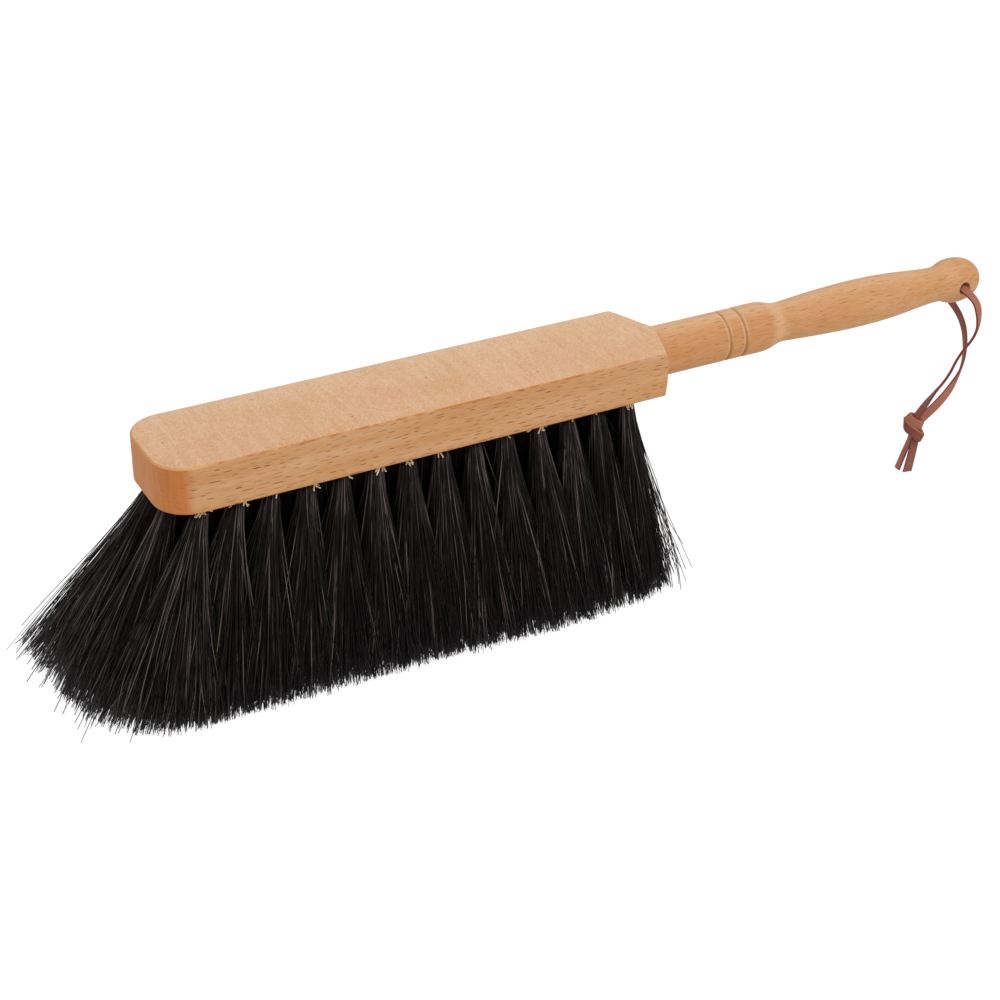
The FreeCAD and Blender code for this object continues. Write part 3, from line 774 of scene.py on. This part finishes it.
def leatherMaterial():
    # one side is the smooth grey-brown grain, the other is pinker flesh, and the cut edges are painted darker
    # as shade
    material, tree = addMaterial("tanned_leather")
    place = addNode(tree, "TexCoord", out="Object")
    pores = addNode(tree, "TexNoise", {"Vector": place, "Scale": 1 / (0.45 * mm), "Detail": 3.0}, "Fac")
    clouds = addNode(tree, "TexNoise", {"Vector": place, "Scale": 1 / (9 * mm), "Detail": 2.0}, "Fac")
    flesh = addNode(tree, "Attribute", out="Fac", attribute_name="fleshSide")
    # the middle stop, for the cut edges, is painted shade
    colour = addNode(tree, "ValToRGB", {"Fac": flesh}, stops=[
        (0.0, "#895342"), (0.5, "#783F32"), (1.0, "#AA6B57")])
    for value, low, high in ((clouds, 0.9, 1.08), (pores, 0.92, 1.06)):
        light = addNode(tree, "MapRange", [value, 0.3, 0.7, low, high])
        colour = addNode(tree, "Mix", {"Factor": 1.0, "A": colour, "B": light}, "Result",
                         data_type="RGBA", blend_type="MULTIPLY")
    rough = addNode(tree, "MapRange", {"Value": flesh, "To Min": 0.5, "To Max": 0.75})
    relief = addNode(tree, "Bump", {"Height": pores, "Strength": 0.25, "Distance": 0.12 * mm})
    surface = addNode(tree, "BsdfPrincipled", {
        "Base Color": colour, "Roughness": rough, "Specular IOR Level": 0.25, "Normal": relief})
    addNode(tree, "OutputMaterial", {"Surface": surface}, None)
    return material


def smoothLine(points):
    # the points of a smooth curve that the route's points draw
    curve = bpy.data.curves.new("route", "CURVE")
    curve.dimensions = "3D"
    curve.resolution_u = 10
    spline = curve.splines.new("NURBS")
    spline.points.add(len(points) - 1)
    for point, xyz in zip(spline.points, points):
        point.co = (*xyz, 1)
    spline.order_u = 3
    spline.use_endpoint_u = True
    holder = bpy.data.objects.new("route", curve)
    mesh = bpy.data.meshes.new_from_object(holder)
    line = np.array([v.co for v in mesh.vertices], float)
    bpy.data.meshes.remove(mesh)
    bpy.data.objects.remove(holder)
    bpy.data.curves.remove(curve)
    return line


def turnedFaces(line, turns):
    # the grain side's direction along a strip that turns about its line
    gone = np.concatenate([[0], np.cumsum(np.linalg.norm(np.diff(line, axis=0), axis=1))])
    along = np.gradient(line, axis=0)
    along /= np.linalg.norm(along, axis=1)[:, None]
    front = np.array(viewer) - line
    front -= along * (front * along).sum(1)[:, None]
    front /= np.linalg.norm(front, axis=1)[:, None]
    angle = np.radians(np.interp(gone / gone[-1], *zip(*turns)))[:, None]
    return front * np.cos(angle) + np.cross(front, along) * np.sin(angle)


def stripPiece(name, line, normal, width, thickness, tones=None, cut=0, closed=False):
    # a flat strip with soft corners along the line, its grain side towards normal, cut off at a slant
    if closed:
        along = np.roll(line, -1, axis=0) - np.roll(line, 1, axis=0)
    else:
        along = np.gradient(line, axis=0)
    along /= np.linalg.norm(along, axis=1)[:, None]
    across = np.cross(along, normal)
    across /= np.linalg.norm(across, axis=1)[:, None]
    turn = (np.arange(lace["facets"]) + 0.5) * 2 * math.pi / lace["facets"]
    u = np.sign(np.cos(turn)) * np.abs(np.cos(turn)) ** lace["softness"]
    v = np.sign(np.sin(turn)) * np.abs(np.sin(turn)) ** lace["softness"]
    broad = u[None, :, None] * across[:, None] * width / 2
    thick = v[None, :, None] * normal[:, None] * thickness / 2
    rings = line[:, None] + (broad + thick)
    rings[-1] += u[:, None] * cut * along[-1]
    n, k = len(line), len(turn)
    spans = n if closed else n - 1
    quads = [(i * k + j, i * k + (j + 1) % k, (i + 1) % n * k + (j + 1) % k, (i + 1) % n * k + j)
             for i in range(spans) for j in range(k)]
    caps = [] if closed else [tuple(range(k))[::-1], tuple(range((n - 1) * k, n * k))]
    mesh = bpy.data.meshes.new(name)
    mesh.from_pydata(rings.reshape(-1, 3), [], quads + caps)

    # grain on one broad side, flesh on the other, cut edges between; or one tone for faces and one for edges
    height = (v + np.roll(v, -1)) / 2
    grain, fleshy, edge = (0, 1, 0.5) if tones is None else (tones[0], tones[0], tones[1])
    sides = np.where(height > 0.8, grain, np.where(height < -0.8, fleshy, edge))
    tone = mesh.attributes.new("fleshSide", "FLOAT", "FACE")
    shown = np.concatenate([np.tile(sides, spans), [0.5] * len(caps)])
    tone.data.foreach_set("value", shown.astype(np.float32))
    piece = bpy.data.objects.new(name, mesh)
    bpy.context.collection.objects.link(piece)
    deselectAll()
    piece.select_set(True)
    bpy.context.view_layer.objects.active = piece
    bpy.ops.object.mode_set(mode="EDIT")
    bpy.ops.mesh.select_all(action="SELECT")
    bpy.ops.mesh.normals_make_consistent(inside=False)
    bpy.ops.object.mode_set(mode="OBJECT")
    bpy.ops.object.shade_smooth_by_angle(angle=math.radians(50))
    return piece


def fromHole(points):
    return [lace["hole"] + Vector(p) * mm for p in points]


def knotBand(bandName, middle, axis, front, right):
    # a closed band of the strip round the knot, hung from its upper edge
    band = knot[bandName]
    angle = np.linspace(-math.pi, math.pi, 64, endpoint=False)
    cos, sin = np.cos(angle)[:, None], np.sin(angle)[:, None]

    def allRound(left, ahead, rightward, behind):
        # a value that goes smoothly from side to side
        level = (ahead + behind) / 2
        aside = np.where(sin < 0, left - level, rightward - level)
        return level + (ahead - behind) / 2 * cos + aside * sin ** 2

    lean = np.radians(allRound(*band["lean"]))
    outward = front * cos / band["deep"] + right * sin / band["across"]
    outward /= np.linalg.norm(outward, axis=1)[:, None]
    height = allRound(*band["height"])
    edge = front * cos * band["deep"] + right * (sin * band["across"] + band["aside"]) + axis * height
    normal = outward * np.cos(lean) + axis * np.sin(lean)
    downward = outward * np.sin(lean) - axis * np.cos(lean)
    line = middle + edge * mm + downward * knot["width"] / 2 - normal * knot["thickness"] / 2
    return stripPiece("knot_" + bandName, line, normal, knot["width"], knot["thickness"], band["tones"],
                      closed=True)


def tieKnot(leather):
    middle = fromHole([knot["middle"]])[0]
    axis = Vector(knot["axis"]).normalized()
    front = viewer - middle
    front = (front - axis * front.dot(axis)).normalized()
    right = axis.cross(front)
    frameAxes = [np.array(v) for v in (middle, axis, front, right)]
    pieces = [knotBand(bandName, *frameAxes) for bandName in ("collar", "belt")]
    for tailName in ("left", "right"):
        line = smoothLine(fromHole(knot[tailName + "Tail"]))
        faces = turnedFaces(line, knot[tailName + "Turns"])
        pieces.append(stripPiece("tail_" + tailName, line, faces, lace["width"], lace["thickness"],
                                 cut=knot[tailName + "Cut"]))
    deselectAll()
    turn = Matrix((right, front, axis)).transposed().to_euler()
    bpy.ops.mesh.primitive_uv_sphere_add(segments=24, ring_count=16, radius=mm, scale=knot["core"],
                                         rotation=turn, location=middle - axis * knot["coreDrop"])
    bpy.ops.object.transform_apply(location=True, rotation=True, scale=True)
    bpy.ops.object.shade_smooth()
    core = bpy.context.object
    tone = core.data.attributes.new("fleshSide", "FLOAT", "FACE")
    tone.data.foreach_set("value", [0.5] * len(core.data.polygons))
    for piece in pieces:
        piece.select_set(True)
    bpy.context.view_layer.objects.active = core
    bpy.ops.object.join()
    core.name = "lace_knot_tied"
    core.data.materials.clear()
    core.data.materials.append(leather)
    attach(core, "lace")
    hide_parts("lace_knot")
    return core


def hangLace():
    leather = leatherMaterial()
    tied = tieKnot(leather)
    for legName, mouthSide in (("near", -1), ("far", 1)):
        line = smoothLine(fromHole(lace[legName + "Leg"]))
        faces = turnedFaces(line, lace[legName + "Turns"])
        piece = stripPiece("lace_%sLeg" % legName, line, faces, lace["width"], lace["thickness"])
        piece.data.materials.append(leather)
        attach(piece, "lace")
        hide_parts("lace_loop")


hangLace()


# Studio: white floor, white surround and one large soft lamp
studio = {
    "worldStrength": 0.62,
    "lampPower": 9,
    "lampSize": 1.1,
    "lampPlace": (0.25, -0.75, 1.25),
    "floorSize": 12,
    "floorColour": "#E8E8E8",
    "floorGlow": 0.85,
    "shadowDepth": 0.25,        # how much of the floor's brightness the lamp gives
}


def seenRays(tree):
    # rays that look at the white itself, not those that light the broom
    rays = addNode(tree, "LightPath", out=None)
    seen = addNode(tree, "Math", [rays.outputs["Is Camera Ray"], rays.outputs["Is Glossy Ray"]],
                   operation="MAXIMUM")
    return addNode(tree, "Math", [seen, rays.outputs["Is Transmission Ray"]], operation="MAXIMUM")


def addStudio():
    deselectAll()
    bpy.ops.mesh.primitive_plane_add(size=studio["floorSize"], location=(0, 0, 0))
    floor = bpy.context.object
    floor.name = "floor"
    material, tree = addMaterial("white_paper")
    paper = addNode(tree, "BsdfDiffuse", {"Color": linear(studio["floorColour"])})
    faint = addNode(tree, "BsdfDiffuse", {"Color": [studio["shadowDepth"]] * 3 + [1]})
    glow = addNode(tree, "Emission", {"Color": (1, 1, 1, 1), "Strength": studio["floorGlow"]})
    shown = addNode(tree, "AddShader", [faint, glow])
    either = addNode(tree, "MixShader", [seenRays(tree), paper, shown])
    addNode(tree, "OutputMaterial", {"Surface": either}, None)
    floor.data.materials.append(material)

    world = bpy.data.worlds.new("surround")
    world.use_nodes = True
    tree = world.node_tree
    tree.nodes.clear()
    lit = addNode(tree, "Background", {"Color": (1, 1, 1, 1), "Strength": studio["worldStrength"]})
    white = addNode(tree, "Background", {"Color": (1, 1, 1, 1), "Strength": 1.0})
    either = addNode(tree, "MixShader", [seenRays(tree), lit, white])
    addNode(tree, "OutputWorld", {"Surface": either}, None)
    bpy.context.scene.world = world

    bpy.ops.object.light_add(type="AREA", location=studio["lampPlace"])
    lamp = bpy.context.object
    lamp.data.shape = "DISK"
    lamp.data.size = studio["lampSize"]
    lamp.data.energy = studio["lampPower"]
    aim = Vector(view["target"]) - lamp.location
    lamp.rotation_euler = aim.to_track_quat("-Z", "Y").to_euler()
    bpy.context.scene.view_settings.view_transform = "Standard"


addStudio()
print("studio lit")
